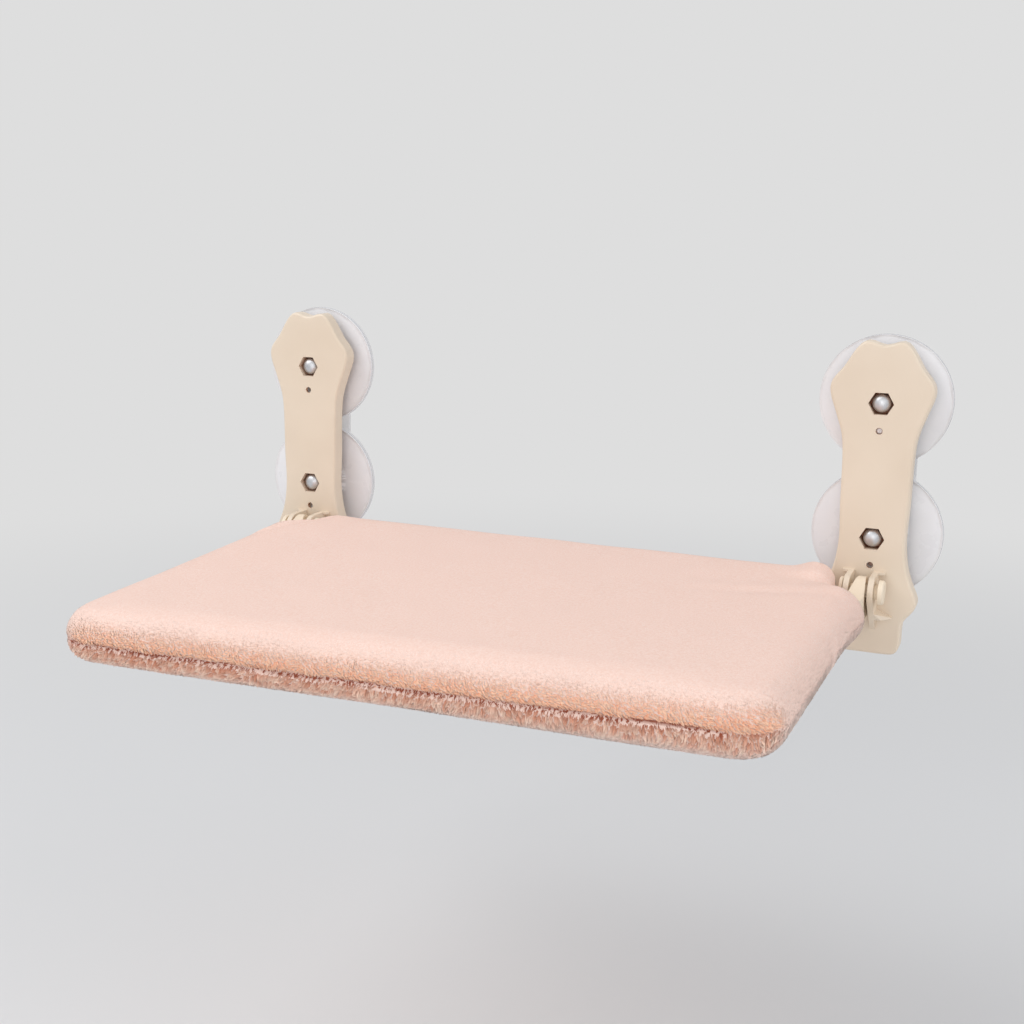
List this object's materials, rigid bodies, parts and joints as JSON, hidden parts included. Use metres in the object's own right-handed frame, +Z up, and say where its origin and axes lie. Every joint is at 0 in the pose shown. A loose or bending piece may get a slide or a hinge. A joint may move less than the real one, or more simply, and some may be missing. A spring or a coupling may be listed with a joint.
{
  "type": "window mounted cat perch",
  "caption": "Padded rectangular bed hinged on two waisted brackets with suction cups on a window; it folds up flat.",
  "frame": {"origin": "on the window glass, midway between the two brackets and between their upper and lower cups", "axes": "+X to the right along the window as seen from the room, +Y into the glass, +Z up"},
  "size_m": [0.5738, 0.3591, 0.2367],
  "materials": {
    "plate_cream": "satin moulded ABS, cream",
    "pad_clear": "clear soft PVC",
    "disc_white": "gloss moulded plastic, white",
    "stud_steel": "zinc plated",
    "nut_steel": "bright plated",
    "pin_cream": "satin moulded plastic, cream",
    "arm_cream": "satin moulded nylon, cream",
    "tube_grey": "powder coated steel, grey",
    "rivet_alloy": "plain",
    "sling_cloth": "plain woven polyester",
    "foam_cream": "open foam",
    "plush_pink": "short-pile plush, pale pink",
    "zip_tape": "woven tape with coil, pink",
    "zip_metal": "bright plated"
  },
  "bodies": {
    "brackets": {"bracket_plate_left": "plate_cream", "bracket_plate_right": "plate_cream", "suction_pad_left": "pad_clear", "suction_pad_right": "pad_clear", "suction_disc_upper_left": "disc_white", "suction_disc_lower_left": "disc_white", "suction_disc_upper_right": "disc_white", "suction_disc_lower_right": "disc_white", "cup_stud_upper_left": "stud_steel", "cup_stud_lower_left": "stud_steel", "cup_stud_upper_right": "stud_steel", "cup_stud_lower_right": "stud_steel", "cap_nut_upper_left": "nut_steel", "cap_nut_lower_left": "nut_steel", "cap_nut_upper_right": "nut_steel", "cap_nut_lower_right": "nut_steel", "pivot_pin_left": "pin_cream", "pivot_pin_right": "pin_cream", "pin_cap_left": "pin_cream", "pin_cap_right": "pin_cream"},
    "bed": {"hinge_arm_left": "arm_cream", "hinge_arm_right": "arm_cream", "frame_tube": "tube_grey", "rear_tube": "tube_grey", "arm_rivets": "rivet_alloy", "support_sling": "sling_cloth", "foam_pad": "foam_cream", "plush_cover": "plush_pink", "cover_zip": "zip_tape"},
    "slider": {"zip_slider": "zip_metal"},
    "pull": {"zip_pull": "zip_metal"}
  },
  "joints": [
    {"name": "bed_fold", "type": "hinge", "parent": "brackets", "child": "bed", "pos_m": [0, -0.0456, -0.085], "axis": [-1, 0, 0], "range_deg": [0, 90]},
    {"name": "zip_slide", "type": "slide", "parent": "bed", "child": "slider", "axis": [1, 0, 0], "range_m": [-0.3, 0.023]},
    {"name": "pull_swing", "type": "hinge", "parent": "slider", "child": "pull", "pos_m": [0.14, -0.0763, -0.1172], "axis": [0, 1, 0], "range_deg": [-80, 80]}
  ]
}
